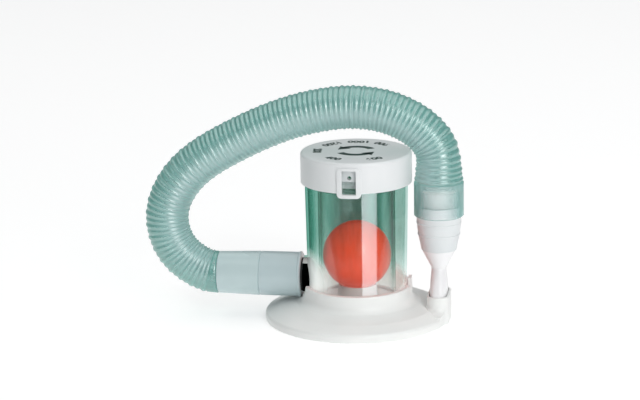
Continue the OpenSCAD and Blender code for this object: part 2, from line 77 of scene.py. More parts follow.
def finishMaterial(material, shader):
    addNode(material, "ShaderNodeOutputMaterial", {"Surface": shader})
    return material


def dress(nodeName, material):
    # a CAD node keeps its mesh and gets a better material
    piece = nodes[nodeName]
    for slot in piece.material_slots:
        slot.material = material


def meshPiece(name, bm, material, smooth=True):
    mesh = bpy.data.meshes.new(name)
    bm.to_mesh(mesh)
    bm.free()
    piece = bpy.data.objects.new(name, mesh)
    bpy.context.scene.collection.objects.link(piece)
    piece.data.materials.append(material)
    for face in mesh.polygons:
        face.use_smooth = smooth
    return piece


cameraView = {
    "azimuth": 8.5, "elevation": 14.51, "roll": -0.85,
    "distance": 1.5, "targetX": -0.02121, "targetZ": 0.07089,
    "focalPixels": 2583.7, "imageWidth": 640, "sensorWidth": 36,
}


def makeCamera():
    azimuth, elevation, roll = (math.radians(cameraView[k]) for k in ("azimuth", "elevation", "roll"))
    back = Vector((math.sin(azimuth) * math.cos(elevation),
                   -math.cos(azimuth) * math.cos(elevation), math.sin(elevation)))
    target = Vector((cameraView["targetX"] * math.cos(azimuth),
                     cameraView["targetX"] * math.sin(azimuth), cameraView["targetZ"]))
    right = Vector((0, 0, 1)).cross(back).normalized()
    up = back.cross(right)
    turn = Matrix((right, up, back)).transposed().to_4x4()
    camera = bpy.data.objects.new("camera", bpy.data.cameras.new("camera"))
    camera.data.sensor_width = cameraView["sensorWidth"]
    camera.data.lens = cameraView["focalPixels"] / cameraView["imageWidth"] * cameraView["sensorWidth"]
    camera.matrix_world = (Matrix.Translation(target + back * cameraView["distance"])
                           @ Matrix.Rotation(roll, 4, back) @ turn)
    bpy.context.scene.collection.objects.link(camera)
    bpy.context.scene.camera = camera


makeCamera()
print("camera made")


hose = {
    "ribRadius": 12.8 * mm, "ribDepth": 0.8 * mm, "ribPitch": 2.85 * mm, "lesserRib": 0.65, "wall": 1.0 * mm,
    "plainRadius": 10.9 * mm, "bandRadius": 12.4 * mm, "bandStart": 28.3 * mm, "bandLength": 4.7 * mm,
    "mouthPlainRadius": 12.0 * mm, "ribsEndBeforeMouth": 19.3 * mm,
    "flare": 1.5 * mm, "flareLength": 16 * mm, "hiddenRibs": 2, "clearEnd": 21 * mm, "clearFade": 8 * mm,
    "sides": 56, "ringsPerRib": 8, "diameter": 25.6 * mm,
}

# the axis in the plane y = 0, as (x, z) in metres
hoseRoute = [
    (-0.054, 0.025), (-0.061, 0.025), (-0.068, 0.025), (-0.074, 0.025), (-0.079, 0.025),
    (-0.083, 0.025), (-0.086, 0.025), (-0.0915, 0.0265), (-0.097, 0.0295), (-0.1025, 0.0335),
    (-0.107, 0.0385), (-0.1105, 0.045), (-0.1125, 0.053), (-0.1125, 0.0615), (-0.110, 0.070),
    (-0.1055, 0.078), (-0.0995, 0.0855), (-0.092, 0.092), (-0.083, 0.098), (-0.073, 0.1035),
    (-0.0625, 0.109), (-0.0515, 0.114), (-0.040, 0.1185), (-0.0285, 0.122), (-0.0165, 0.1245),
    (-0.0045, 0.126), (0.0075, 0.1255), (0.0185, 0.1235), (0.0285, 0.1195), (0.037, 0.1145),
    (0.044, 0.1075), (0.0475, 0.101), (0.048, 0.0945), (0.048, 0.090), (0.048, 0.085),
    (0.048, 0.078), (0.048, 0.071), (0.048, 0.064),
]


def smoothRoute(points, steps):
    # uniform cubic spline with straight ends, as a list of Vectors
    knots = [Vector((x, 0, z)) for x, z in points]
    knots = [2 * knots[0] - knots[1]] + knots + [2 * knots[-1] - knots[-2]]
    line = []
    for a, b, c, d in zip(knots, knots[1:], knots[2:], knots[3:]):
        for k in range(steps):
            t = k / steps
            line.append(((1 - t) ** 3 * a + (3 * t ** 3 - 6 * t * t + 4) * b
                         + (3 * t + 3 * t * t - 3 * t ** 3 + 1) * c + t ** 3 * d) / 6)
    return line + [knots[-2]]


hoseLine = smoothRoute(hoseRoute, 8)
hoseReach = [0.0]
for first, second in zip(hoseLine, hoseLine[1:]):
    hoseReach.append(hoseReach[-1] + (second - first).length)
hoseLength = hoseReach[-1]


def onRoute(s):
    # point and direction at length s along the hose
    s = min(max(s, 0), hoseLength)
    i = next((k for k in range(1, len(hoseReach)) if hoseReach[k] >= s), len(hoseReach) - 1)
    share = (s - hoseReach[i - 1]) / (hoseReach[i] - hoseReach[i - 1])
    return hoseLine[i - 1].lerp(hoseLine[i], share)


def hoseProfile():
    # (length along the hose, radius) outside and inside, with how far each point is up its rib
    ribsStart = hose["bandStart"] + hose["bandLength"]
    ribsEnd = hoseLength - hose["ribsEndBeforeMouth"]
    ribs = round((ribsEnd - ribsStart) / hose["ribPitch"])
    step = (ribsEnd - ribsStart) / ribs
    rings = hose["ringsPerRib"]
    edge = 0.3 * mm

    def flare(s):
        return hose["flare"] * min(1, max(0, (s - ribsEnd) / hose["flareLength"] + 1))

    outside = [(0, hose["plainRadius"], 0.5), (hose["bandStart"] - 0.1 * mm, hose["plainRadius"], 0.5),
               (hose["bandStart"], hose["bandRadius"] - edge, 0),
               (hose["bandStart"] + edge, hose["bandRadius"], 0),
               (ribsStart - edge, hose["bandRadius"], 0)]
    for k in range(ribs * rings + 1):
        s = ribsStart + k * step / rings
        crest = hose["lesserRib"] if (k // rings) % 2 else 1
        rise = crest * (0.5 - 0.5 * math.cos(2 * math.pi * k / rings)) ** 0.75
        outside.append((s, hose["ribRadius"] - hose["ribDepth"] * (1 - rise) + flare(s), rise))
    for k in range(hose["hiddenRibs"] * rings + 1):
        rise = 0.5 - 0.5 * math.cos(2 * math.pi * k / rings)
        outside.append((ribsEnd + 0.1 * mm + k * step / rings,
                        hose["mouthPlainRadius"] + hose["ribDepth"] * rise, rise))
    outside.append((hoseLength, hose["mouthPlainRadius"], 0.5))
    inside = [(hoseLength, hose["mouthPlainRadius"] - hose["wall"], 0.5),
              (ribsEnd, hose["mouthPlainRadius"] - hose["wall"], 0.5)]
    for k in reversed(range(ribs * 3 + 1)):
        s = ribsStart + k * step / 3
        rise = 0.5 - 0.5 * math.cos(2 * math.pi * k / 3)
        base = hose["ribRadius"] - hose["ribDepth"] - hose["wall"] + flare(s) * 0.7
        inside.append((s, base + hose["ribDepth"] * 0.6 * rise, rise))
    inside += [(hose["bandStart"], hose["plainRadius"] - hose["wall"], 0.5),
               (0, hose["plainRadius"] - hose["wall"], 0.5)]
    return outside + inside


def makeHose(material):
    bm = bmesh.new()
    profile = hoseProfile()
    points = [bm.verts.new((r, 0, s)) for s, r, rise in profile]
    edges = [bm.edges.new((a, b)) for a, b in zip(points, points[1:] + points[:1])]
    bmesh.ops.spin(bm, geom=points + edges, cent=(0, 0, 0), axis=(0, 0, 1),
                   angle=2 * math.pi, steps=hose["sides"], use_merge=True)
    bmesh.ops.remove_doubles(bm, verts=bm.verts, dist=0.001 * mm)
    bmesh.ops.recalc_face_normals(bm, faces=bm.faces)
    # how far up a rib each point is, kept for the material, then the tube is laid along the route
    riseLayer = bm.verts.layers.float.new("rise")
    clearLayer = bm.verts.layers.float.new("clear")
    innerLayer = bm.verts.layers.float.new("inner")
    rises = {(round(s, 6), round(r, 6)): rise for s, r, rise in profile}
    frames = {}
    for vert in bm.verts:
        s, r = vert.co.z, math.hypot(vert.co.x, vert.co.y)
        key = round(s, 7)
        if key not in frames:
            along = (onRoute(s + 0.5 * mm) - onRoute(s - 0.5 * mm)).normalized()
            frames[key] = (onRoute(s), Vector((along.z, 0, -along.x)))
        vert[riseLayer] = rises.get((round(s, 6), round(r, 6)), 0.5)
        vert[clearLayer] = min(1, max(0, (s - hoseLength + hose["clearEnd"]) / hose["clearFade"]))
        # which side of the bend each point is on, for the painted sheen; the plain band gets none
        vert[innerLayer] = vert.co.x / r if s > hose["bandStart"] + hose["bandLength"] else -1
        place, outward = frames[key]
        vert.co = place + outward * vert.co.x + Vector((0, 1, 0)) * vert.co.y
    return meshPiece("ribbedHose", bm, material)


def hosePlastic(name, look):
    # Tinted PVC breathing tube, blow moulded: light comes through its thin wall, the side towards the inside of its
    # bends is painted paler and greyer, a painted reflection of the bright floor, and each rib mirrors the lamps as one
    # bright spot.
    material = newMaterial(name)
    rise = addNode(material, "ShaderNodeAttribute", attribute_name="rise").outputs["Fac"]
    clear = addNode(material, "ShaderNodeAttribute", attribute_name="clear").outputs["Fac"]
    inner = addNode(material, "ShaderNodeAttribute", attribute_name="inner").outputs["Fac"]
    place = addNode(material, "ShaderNodeTexCoord").outputs["Object"]
    spots = addNode(material, "ShaderNodeTexNoise", {
        "Vector": place, "Scale": 1 / look["spotSize"], "Detail": 2.0}).outputs["Fac"]
    # painted light and shade: rib crests are coloured lighter and grooves darker
    tone = addNode(material, "ShaderNodeMath", {0: spots, 1: 0.4, 2: -0.2}, operation="MULTIPLY_ADD").outputs[0]
    tone = addNode(material, "ShaderNodeMath", {0: rise, 1: tone}, operation="ADD").outputs[0]
    colour = addNode(material, "ShaderNodeMix", {
        0: tone, 6: linear(look["groove"]), 7: linear(look["crest"])}, data_type="RGBA").outputs[2]
    # painted reflection: the inside of each bend is blended towards a pale grey, standing in for the bright floor it
    # would mirror
    paintedSheen = addNode(material, "ShaderNodeMapRange", {
        "Value": inner, "From Min": look["paintedSheenFrom"], "From Max": look["paintedSheenFull"],
        "To Max": look["paintedSheenShare"]}).outputs[0]
    colour = addNode(material, "ShaderNodeMix", {
        0: paintedSheen, 6: colour, 7: linear(look["paintedSheenColour"])}, data_type="RGBA").outputs[2]
    facing = addNode(material, "ShaderNodeLayerWeight", {"Blend": 0.5}).outputs["Facing"]
    edge = addNode(material, "ShaderNodeMath", {0: facing, 1: look["edgePower"]}, operation="POWER").outputs[0]
    turned = addNode(material, "ShaderNodeMath", {0: edge, 1: look["edgeShare"]}, operation="MULTIPLY").outputs[0]
    colour = addNode(material, "ShaderNodeMix", {
        0: turned, 6: colour, 7: linear(look["edge"])}, data_type="RGBA").outputs[2]
    colour = addNode(material, "ShaderNodeMix", {
        0: clear, 6: colour, 7: linear(look["milky"])}, data_type="RGBA").outputs[2]
    body = addNode(material, "ShaderNodeBsdfPrincipled", {
        "Base Color": colour, "Roughness": 0.4, "IOR": 1.53}).outputs[0]
    glow = addNode(material, "ShaderNodeBsdfTranslucent", {"Color": colour}).outputs[0]
    body = addNode(material, "ShaderNodeMixShader", {0: look["glow"], 1: body, 2: glow}).outputs[0]
    see = addNode(material, "ShaderNodeBsdfTransparent", {"Color": linear(look["tint"])}).outputs[0]
    dense = addNode(material, "ShaderNodeMapRange", {
        "Value": edge, "To Min": look["denseFacing"], "To Max": look["denseEdge"]}).outputs[0]
    # painted shade: the grooves are made denser, so they read darker
    groove = addNode(material, "ShaderNodeMath", {0: rise, 1: -0.3, 2: 1.15}, operation="MULTIPLY_ADD").outputs[0]
    dense = addNode(material, "ShaderNodeMath", {0: dense, 1: groove}, operation="MULTIPLY").outputs[0]
    dense = addNode(material, "ShaderNodeMath", {
        0: clear, 1: look["milkyDense"], 2: dense}, operation="MULTIPLY_ADD", use_clamp=True).outputs[0]
    if "rimFrom" in look:
        height = addNode(material, "ShaderNodeSeparateXYZ", {0: place}).outputs["Z"]
        rim = addNode(material, "ShaderNodeMapRange", {
            "Value": height, "From Min": look["rimFrom"], "From Max": look["rimFull"],
            "To Max": look["rimDense"]}).outputs[0]
        dense = addNode(material, "ShaderNodeMath", {0: dense, 1: rim}, operation="ADD", use_clamp=True).outputs[0]
        foot = addNode(material, "ShaderNodeMapRange", {
            "Value": height, "From Min": look["footFrom"], "From Max": look["footFull"],
            "To Min": look["footDense"]}).outputs[0]
        dense = addNode(material, "ShaderNodeMath", {0: dense, 1: foot}, operation="MULTIPLY").outputs[0]
    tube = addNode(material, "ShaderNodeMixShader", {0: dense, 1: see, 2: body}).outputs[0]
    mirror = addNode(material, "ShaderNodeBsdfGlossy", {
        "Color": linear("#ffffff"), "Roughness": look["roughness"]}).outputs[0]
    shine = addNode(material, "ShaderNodeMath", {0: facing, 1: 5.0}, operation="POWER").outputs[0]
    shine = addNode(material, "ShaderNodeMath", {0: shine, 1: 0.3, 2: look["shine"]}, operation="MULTIPLY_ADD").outputs[0]
    tube = addNode(material, "ShaderNodeMixShader", {0: shine, 1: tube, 2: mirror}).outputs[0]
    # light comes through to the inside and the far wall, which shine back out through the near one
    path = addNode(material, "ShaderNodeLightPath").outputs
    passing = addNode(material, "ShaderNodeMath", {
        0: path["Is Shadow Ray"], 1: path["Is Diffuse Ray"]}, operation="MAXIMUM").outputs[0]
    through = addNode(material, "ShaderNodeBsdfTransparent", {"Color": linear(look["passing"])}).outputs[0]
    tube = addNode(material, "ShaderNodeMixShader", {0: passing, 1: tube, 2: through}).outputs[0]
    return finishMaterial(material, tube)


hoseLook = {
    "groove": "#71afa8", "crest": "#92c3bd", "tint": "#ddf0ee", "roughness": 0.26, "spotSize": 4 * mm,
    "paintedSheenFrom": -0.6, "paintedSheenFull": 0.4, "paintedSheenShare": 0.7, "paintedSheenColour": "#bed1d4",
    "edge": "#74b0a8", "edgeShare": 1.0, "milky": "#eaeeee", "milkyDense": 0.65,
    "glow": 0.3, "denseFacing": 0.42, "denseEdge": 0.95, "edgePower": 1.5, "shine": 0.12, "passing": "#f7fbfa",
}
hosePiece = makeHose(hosePlastic("tintedHose", hoseLook))
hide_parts("hose")
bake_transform(hosePiece)
print("hose made, length", round(hoseLength, 4))


def mouldedPlastic(name, colours, roughness, grainSize, bump, glow=0.0):
    # opaque moulded plastic: a slow drift of tone, a fine spark-eroded grain and uneven gloss; a glow given here is
    # painted light, by emission
    material = newMaterial(name)
    place = addNode(material, "ShaderNodeTexCoord").outputs["Object"]
    drift = addNode(material, "ShaderNodeTexNoise", {"Vector": place, "Scale": 35.0, "Detail": 3.0}).outputs["Fac"]
    grain = addNode(material, "ShaderNodeTexNoise", {"Vector": place, "Scale": 1 / grainSize, "Detail": 2.0}).outputs["Fac"]
    colour = addNode(material, "ShaderNodeValToRGB", {"Fac": drift})
    colour.color_ramp.elements[0].position = 0.3
    colour.color_ramp.elements[1].position = 0.7
    colour.color_ramp.elements[0].color = linear(colours[0])
    colour.color_ramp.elements[1].color = linear(colours[1])
    gloss = addNode(material, "ShaderNodeMapRange", {
        "Value": drift, "To Min": roughness[0], "To Max": roughness[1]}).outputs[0]
    relief = addNode(material, "ShaderNodeBump", {
        "Height": grain, "Strength": bump, "Distance": 0.1 * mm}).outputs[0]
    body = addNode(material, "ShaderNodeBsdfPrincipled", {
        "Base Color": colour.outputs[0], "Roughness": gloss, "Normal": relief, "IOR": 1.5,
        "Emission Color": linear(colours[0]), "Emission Strength": glow}).outputs[0]
    return finishMaterial(material, body)


def clearStyrene(name, look):
    # Clear injection-moulded polystyrene with a green tint: each face takes a little of the light, more where the
    # wall turns away, and mirrors the studio's lamps; its upright bands are painted reflection and shade, its deeper
    # tint towards the top painted shade.
    material = newMaterial(name)
    place = addNode(material, "ShaderNodeTexCoord").outputs["Object"]
    axes = addNode(material, "ShaderNodeSeparateXYZ", {0: place}).outputs
    front = addNode(material, "ShaderNodeMath", {0: axes["Y"], 1: -1.0}, operation="MULTIPLY").outputs[0]
    turn = addNode(material, "ShaderNodeMath", {0: axes["X"], 1: front}, operation="ARCTAN2").outputs[0]
    share = addNode(material, "ShaderNodeMapRange", {
        "Value": turn, "From Min": -math.pi, "From Max": math.pi}).outputs[0]
    # painted reflection and shade: tint depth and greyness set by angle round the wall
    bands = addNode(material, "ShaderNodeValToRGB", {"Fac": share})
    ramp = bands.color_ramp
    for i, (degrees, depth, turned, smoke) in enumerate(look["bands"]):
        stop = ramp.elements[i] if i < 2 else ramp.elements.new(1)
        stop.position = degrees / 360 + 0.5
        stop.color = (depth, turned, smoke, 1)
    bands = addNode(material, "ShaderNodeSeparateColor", {0: bands.outputs[0]}).outputs
    upright = addNode(material, "ShaderNodeCombineXYZ", {
        "X": turn, "Y": addNode(material, "ShaderNodeMath", {
            0: axes["Z"], 1: look["streakLean"]}, operation="MULTIPLY").outputs[0]}).outputs[0]
    streak = addNode(material, "ShaderNodeTexNoise", {
        "Vector": upright, "Scale": look["radius"] / look["streakWidth"], "Detail": 3.0}).outputs["Fac"]
    streak = addNode(material, "ShaderNodeMapRange", {
        "Value": streak, "From Min": 0.35, "From Max": 0.65, "To Min": -look["streak"],
        "To Max": look["streak"]}).outputs[0]
    # painted shade: the tint deepens towards the top, under the cap, and fades out at the foot
    high = addNode(material, "ShaderNodeMapRange", {
        "Value": axes["Z"], "From Min": look["tintFrom"], "From Max": look["tintFull"],
        "To Min": look["lowTint"], "To Max": look["highTint"]}).outputs[0]
    facing = addNode(material, "ShaderNodeLayerWeight", {"Blend": 0.5}).outputs["Facing"]
    edge = addNode(material, "ShaderNodeMath", {0: facing, 1: look["edgePower"]}, operation="POWER").outputs[0]
    edge = addNode(material, "ShaderNodeMath", {0: edge, 1: bands["Green"]}, operation="MULTIPLY").outputs[0]
    dense = addNode(material, "ShaderNodeMath", {0: bands["Red"], 1: streak}, operation="ADD").outputs[0]
    dense = addNode(material, "ShaderNodeMath", {0: dense, 1: edge}, operation="ADD").outputs[0]
    dense = addNode(material, "ShaderNodeMath", {0: dense, 1: high}, operation="MULTIPLY", use_clamp=True).outputs[0]
    deep = addNode(material, "ShaderNodeMix", {
        0: bands["Blue"], 6: linear(look["deep"]), 7: linear(look["smoky"])}, data_type="RGBA").outputs[2]
    tint = addNode(material, "ShaderNodeMix", {
        0: dense, 6: linear(look["pale"]), 7: deep}, data_type="RGBA").outputs[2]
    see = addNode(material, "ShaderNodeBsdfTransparent", {"Color": tint}).outputs[0]
    normal = addNode(material, "ShaderNodeNewGeometry").outputs["Normal"]
    tilted = addNode(material, "ShaderNodeVectorMath", {0: normal, 1: (0, 0, look["tilt"])}, operation="ADD").outputs[0]
    tilted = addNode(material, "ShaderNodeVectorMath", {0: tilted}, operation="NORMALIZE").outputs[0]
    mirror = addNode(material, "ShaderNodeBsdfGlossy", {
        "Color": linear("#f4fbff"), "Roughness": look["roughness"], "Normal": tilted}).outputs[0]
    shine = addNode(material, "ShaderNodeMath", {0: facing, 1: 5.0}, operation="POWER").outputs[0]
    shine = addNode(material, "ShaderNodeMath", {
        0: shine, 1: look["edgeShine"], 2: look["shine"]}, operation="MULTIPLY_ADD").outputs[0]
    # painted reflection: the mirror is weakened on the far side and on the left, so the lamps show in it only on the
    # front right
    for axis, low, high, least in (("Y", 10 * mm, -10 * mm, look["farShine"]), ("X", -24 * mm, -10 * mm, look["leftShine"])):
        side = addNode(material, "ShaderNodeMapRange", {
            "Value": axes[axis], "From Min": low, "From Max": high, "To Min": least}).outputs[0]
        shine = addNode(material, "ShaderNodeMath", {0: shine, 1: side}, operation="MULTIPLY").outputs[0]
    wall = addNode(material, "ShaderNodeMixShader", {0: shine, 1: see, 2: mirror}).outputs[0]
    if "port" in look:
        # the foot: painted light, a pale veil that glows a little, low down all round, more on the far side, and round
        # the port, standing in for the bright floor inside and the glints round the port; and painted shade, the boss
        # darkened where the bush shows through
        away = addNode(material, "ShaderNodeVectorMath", {0: place, 1: look["port"]}, operation="DISTANCE").outputs["Value"]
        paintedLight = addNode(material, "ShaderNodeMapRange", {
            "Value": away, "From Min": look["paintedLightReach"], "From Max": 0.4 * look["paintedLightReach"],
            "To Max": look["paintedLight"]}).outputs[0]
        low = addNode(material, "ShaderNodeMath", {
            0: axes["Y"], 1: -look["footPaintedLightLean"], 2: axes["Z"]}, operation="MULTIPLY_ADD").outputs[0]
        low = addNode(material, "ShaderNodeMapRange", {
            "Value": low, "From Min": look["footPaintedLightTop"], "From Max": 0.75 * look["footPaintedLightTop"]}).outputs[0]
        back = addNode(material, "ShaderNodeMapRange", {
            "Value": axes["Y"], "From Min": -12 * mm, "From Max": 10 * mm,
            "To Min": look["footPaintedLightFront"], "To Max": look["footPaintedLightBack"]}).outputs[0]
        low = addNode(material, "ShaderNodeMath", {0: low, 1: back}, operation="MULTIPLY").outputs[0]
        paintedLight = addNode(material, "ShaderNodeMath", {0: paintedLight, 1: low}, operation="MAXIMUM").outputs[0]
        # painted light: the veil's pale colour also glows by emission
        milky = addNode(material, "ShaderNodeBsdfPrincipled", {
            "Base Color": linear("#eef2ef"), "Roughness": 0.25,
            "Emission Color": linear("#eef2ef"), "Emission Strength": look["paintedLightGlow"]}).outputs[0]
        wall = addNode(material, "ShaderNodeMixShader", {0: paintedLight, 1: wall, 2: milky}).outputs[0]
        # painted shade: in a patch round the bush the wall is tinted dark, so the bush and the shadowed gap behind it
        # read black
        boss = addNode(material, "ShaderNodeMath", {0: axes["X"], 1: look["bossFrom"]}, operation="LESS_THAN").outputs[0]
        near = addNode(material, "ShaderNodeCombineXYZ", {"Y": axes["Y"], "Z": axes["Z"]}).outputs[0]
        near = addNode(material, "ShaderNodeVectorMath", {0: near, 1: look["bush"]}, operation="DISTANCE").outputs["Value"]
        near = addNode(material, "ShaderNodeMath", {0: near, 1: look["bushReach"]}, operation="LESS_THAN").outputs[0]
        boss = addNode(material, "ShaderNodeMath", {0: boss, 1: near}, operation="MULTIPLY").outputs[0]
        smoky = addNode(material, "ShaderNodeBsdfTransparent", {"Color": linear("#6f7674")}).outputs[0]
        wall = addNode(material, "ShaderNodeMixShader", {0: boss, 1: wall, 2: smoky}).outputs[0]
    # light from lamps and from what stands around comes through untinted, as it does in thin clear walls
    path = addNode(material, "ShaderNodeLightPath").outputs
    passing = addNode(material, "ShaderNodeMath", {
        0: path["Is Shadow Ray"], 1: path["Is Diffuse Ray"]}, operation="MAXIMUM").outputs[0]
    through = addNode(material, "ShaderNodeBsdfTransparent", {"Color": linear("#ffffff")}).outputs[0]
    wall = addNode(material, "ShaderNodeMixShader", {0: passing, 1: wall, 2: through}).outputs[0]
    return finishMaterial(material, wall)


# bands: degrees round from the front, depth of the tint, how much deeper it gets where the wall turns away,
# and how grey it is; these stripes of deeper, paler and greyer tint are painted reflection and shade
chamberLook = {
    "pale": "#fbfdfc", "deep": "#8ac3b6", "smoky": "#86998f", "radius": 30 * mm, "streakWidth": 4 * mm,
    "streakLean": 6.0, "streak": 0.05, "bands": [
        (-180, 0.9, 0.2, 0.9), (-154, 0.9, 0.2, 0.9), (-150, 0.8, 0.2, 0.6), (-147, 0.84, 0.2, 0.5),
        (-143, 0.74, 0.2, 0.3), (-138, 0.7, 0.2, 0.1), (-131, 0.6, 0.2, 0), (-122, 0.7, 0.2, 0),
        (-115, 0.62, 0.2, 0), (-108, 0.85, 0.3, 0), (-99, 1, 0.4, 0.1), (-75, 0.6, 0.5, 0.1), (-62, 0.3, 0.4, 0),
        (-48, 0.12, 0.3, 0), (68, 0.1, 0.2, 0), (84, 0.3, 0.2, 0), (114, 0.35, 0.2, 0), (122, 0.5, 0.1, 0.1),
        (139, 0.52, 0.2, 0), (143, 0.8, 0.2, 0), (147, 0.66, 0.2, 0), (152, 0.58, 0.2, 0), (156, 0.72, 0.2, 0),
        (160, 1, 0.2, 0.3), (165, 1, 0.2, 0.5), (169, 0.8, 0.2, 0.2), (180, 0.9, 0.2, 0.9)],
    "tintFrom": 16 * mm, "tintFull": 46 * mm, "lowTint": 0.0, "highTint": 1.0,
    "edgePower": 1.6, "roughness": 0.05, "shine": 0.08, "edgeShine": 0.35, "farShine": 0.12,
    "leftShine": 0.15, "tilt": 0.17,
    "port": (-26 * mm, -14 * mm, 25 * mm), "paintedLightReach": 20 * mm, "paintedLight": 0.6,
    "bossFrom": -26 * mm, "bush": (0, -1.5 * mm, 25 * mm), "bushReach": 10.2 * mm,
    "footPaintedLightFront": 0.62, "footPaintedLightBack": 0.75, "footPaintedLightTop": 25 * mm, "footPaintedLightLean": 0.2, "paintedLightGlow": 0.4,
}
# the same columns; the raised turn-away values on the right paint a darker edge line there: painted shade
tubeLook = {
    "pale": "#fdfefe", "deep": "#74b8a4", "smoky": "#74b8a4", "radius": 22 * mm, "streakWidth": 8 * mm,
    "streakLean": 4.0, "streak": 0.02, "bands": [(-180, 0.03, 1.6, 0), (-81, 0.03, 1.5, 0), (-60, 0.03, 2, 0), (80, 0.03, 3, 0), (99, 0.03, 5, 0), (180, 0.03, 1.6, 0)],
    "tintFrom": 20 * mm, "tintFull": 46 * mm, "lowTint": 0.1, "highTint": 1.0,
    "edgePower": 4, "roughness": 0.08, "shine": 0.012, "edgeShine": 0.12, "farShine": 1, "leftShine": 1, "tilt": 0.12,
}

dress("base", mouldedPlastic("polystyreneBase", ("#eef0ee", "#f3f4f2"), (0.3, 0.42), 0.5 * mm, 0.04))
dress("dial_cap", mouldedPlastic("absCap", ("#dde1e2", "#e4e6e7"), (0.32, 0.44), 0.4 * mm, 0.06))
dress("metering_ring", mouldedPlastic("acetalRing", ("#c6cccd", "#d0d5d6"), (0.35, 0.5), 0.5 * mm, 0.04))
dress("mouth_adapter", mouldedPlastic("polypropyleneBarrel", ("#d9dee0", "#e1e5e6"), (0.28, 0.4), 0.5 * mm, 0.03))
dress("port_bush", mouldedPlastic("blackRubber", ("#0b0b0c", "#141415"), (0.5, 0.65), 0.3 * mm, 0.12))
dress("port_adapter", mouldedPlastic("frostedPolypropylene", ("#b4c6c9", "#bdced1"), (0.25, 0.36), 0.5 * mm, 0.03))
dress("hose_cuff", mouldedPlastic("frostedCuff", ("#b8ccce", "#c2d4d5"), (0.22, 0.34), 0.5 * mm, 0.03))
# painted light: the red ball glows a little by emission, though it is no lamp
dress("ball_lower_half", mouldedPlastic("redPolystyreneBall", ("#ff4a20", "#ff5629"), (0.25, 0.35), 0.5 * mm, 0.03,
                                         glow=0.16))
dress("ball_upper_half", nodes["ball_lower_half"].material_slots[0].material)
dress("chamber", clearStyrene("clearChamber", chamberLook))
dress("guide_tube", clearStyrene("clearGuideTube", tubeLook))
dress("ball_stop", clearStyrene("clearBallStop", tubeLook))
cuffLook = {**hoseLook, "groove": "#74aca9", "tint": "#fdfefe", "denseFacing": 0.0, "denseEdge": 1.0,
            "edgePower": 0.85, "shine": 0.02, "passing": "#ffffff",
            "rimFrom": 77 * mm, "rimFull": 83 * mm, "rimDense": 0.2,
            "footFrom": 59 * mm, "footFull": 65 * mm, "footDense": 0.3}
dress("mouth_cuff", hosePlastic("tintedHoseEnd", cuffLook))
print("CAD nodes dressed")


beak = {
    "x": 48 * mm, "foot": 4.9 * mm, "height": 26.6 * mm, "thickness": 9.8 * mm, "width": 24 * mm,
    "wall": 1.3 * mm, "neckRadius": 4.4 * mm, "funnelHeight": 11.1 * mm, "funnelRadius": 9.8 * mm,
    "plugRadius": 8 * mm, "plugHeight": 6 * mm, "edge": 0.5 * mm, "sides": 72,
}
# share of the height, share of half the thickness, share of half the width, how square the oval is
beakShares = [(0, 0.94, 0.97, 3), (0.2, 0.99, 1, 3), (0.42, 1, 0.99, 3), (0.55, 1.02, 0.91, 2.8),
              (0.68, 1.02, 0.77, 2.5), (0.8, 0.98, 0.6, 2.2), (0.92, 0.92, 0.44, 2), (1, 0.898, 0.367, 2)]


def flowing(rows, steps):
    # rows eased into one another, so that the lip end has no kinks between its sections
    out = []
    for k in range(len(rows) - 1):
        before, first, second, after = rows[max(k - 1, 0)], rows[k], rows[k + 1], rows[min(k + 2, len(rows) - 1)]
        for i in range(steps):
            t = i / steps
            out.append(tuple(
                b + 0.5 * t * (c - a + t * (2 * a - 5 * b + 4 * c - d + t * (3 * (b - c) + d - a)))
                for a, b, c, d in zip(before, first, second, after)))
    return out + [rows[-1]]


def makeMouthpiece(material):
    bm = bmesh.new()
    rings = [(beak["foot"] + z * beak["height"], tx * beak["thickness"] / 2, ty * beak["width"] / 2, square)
             for z, tx, ty, square in flowing(beakShares, 4)]
    rim = beak["foot"] + beak["height"] + beak["funnelHeight"]
    for z, radius in ((rim - beak["edge"], beak["funnelRadius"]), (rim, beak["funnelRadius"]),
                      (rim, beak["plugRadius"]), (rim + beak["plugHeight"], beak["plugRadius"])):
        rings.append((z, radius, radius, 2))
    loop = bmesh.ops.create_circle(bm, cap_ends=False, radius=1, segments=beak["sides"])["verts"]
    angles = {v: math.atan2(v.co.y, v.co.x) for v in loop}

    def settle(verts, ring, turn):
        z, rx, ry, square = ring
        for v in verts:
            c, s = math.cos(turn[v]), math.sin(turn[v])
            v.co = (beak["x"] + rx * math.copysign(abs(c) ** (2 / square), c),
                    ry * math.copysign(abs(s) ** (2 / square), s), z)

    settle(loop, rings[0], angles)
    edges = list({e for v in loop for e in v.link_edges})
    for ring in rings[1:]:
        made = bmesh.ops.extrude_edge_only(bm, edges=edges)["geom"]
        fresh = [g for g in made if isinstance(g, bmesh.types.BMVert)]
        edges = [g for g in made if isinstance(g, bmesh.types.BMEdge)]
        turn = {v: angles[next(e.other_vert(v) for e in v.link_edges if e.other_vert(v) in angles)] for v in fresh}
        settle(fresh, ring, turn)
        angles = turn
    bmesh.ops.recalc_face_normals(bm, faces=bm.faces)
    bmesh.ops.solidify(bm, geom=bm.faces[:], thickness=beak["wall"])
    return meshPiece("mouthpieceBeak", bm, material)


mouthpiecePiece = makeMouthpiece(mouldedPlastic("softWhitePolyethylene", ("#f1f1f2", "#f6f6f7"), (0.26, 0.36), 0.5 * mm, 0.02))
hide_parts("mouthpiece")
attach(mouthpiecePiece, "mouth")
print("mouthpiece made")


dialPrint = {
    "height": 100 * mm, "ink": 0.05 * mm, "numberSize": 6.6 * mm, "bold": 0.3 * mm, "ringRadius": 22.6 * mm,
    "numbers": [(185, "200"), (242, "400"), (305, "600"), (55, "800"), (93, "1000"), (136, "1200")],
    "arrowRadius": 10 * mm, "arrowWidth": 4.2 * mm, "arrowSweep": 112, "arrowHead": 4.6 * mm,
}


